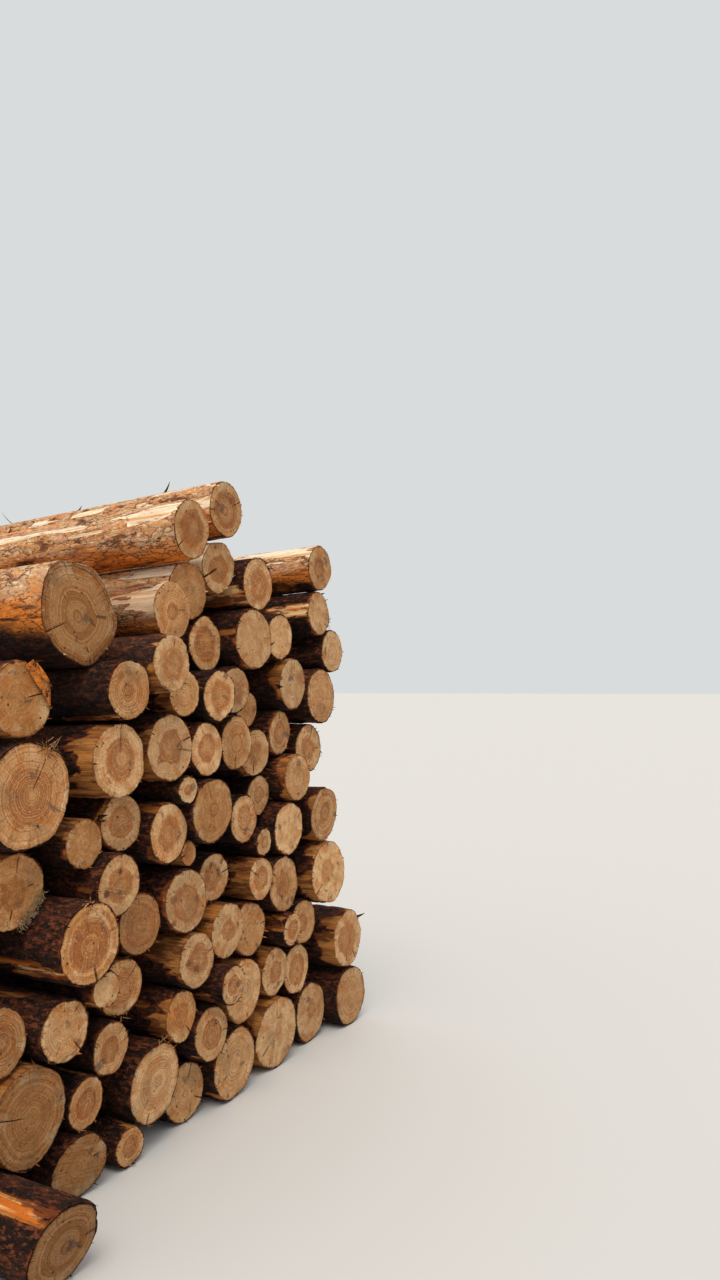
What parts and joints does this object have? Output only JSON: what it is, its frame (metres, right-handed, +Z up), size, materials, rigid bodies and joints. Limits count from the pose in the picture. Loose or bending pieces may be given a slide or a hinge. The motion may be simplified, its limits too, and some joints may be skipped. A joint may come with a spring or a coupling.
{
  "type": "stack of logs",
  "caption": "Roadside stack of softwood logs laid parallel with their sawn butts in one face, nested from the ground up into an irregular pile about two and a half metres tall.",
  "frame": {"origin": "centre of the pile's footprint, on the ground", "axes": "+Z up; the logs lie along Y with their butt ends facing -Y; +X to the right of that face"},
  "size_m": [2.6344, 3.3686, 2.4041],
  "materials": {
    "bark": "rough",
    "sawn_wood": "rough"
  },
  "bodies": {
    "root": {"course_01_ground": "bark", "course_02": "bark", "course_03": "bark", "course_04": "bark", "course_05": "bark", "course_06": "bark", "course_07": "bark", "course_08": "bark", "course_09": "bark", "course_10_top": "bark"}
  },
  "joints": []
}
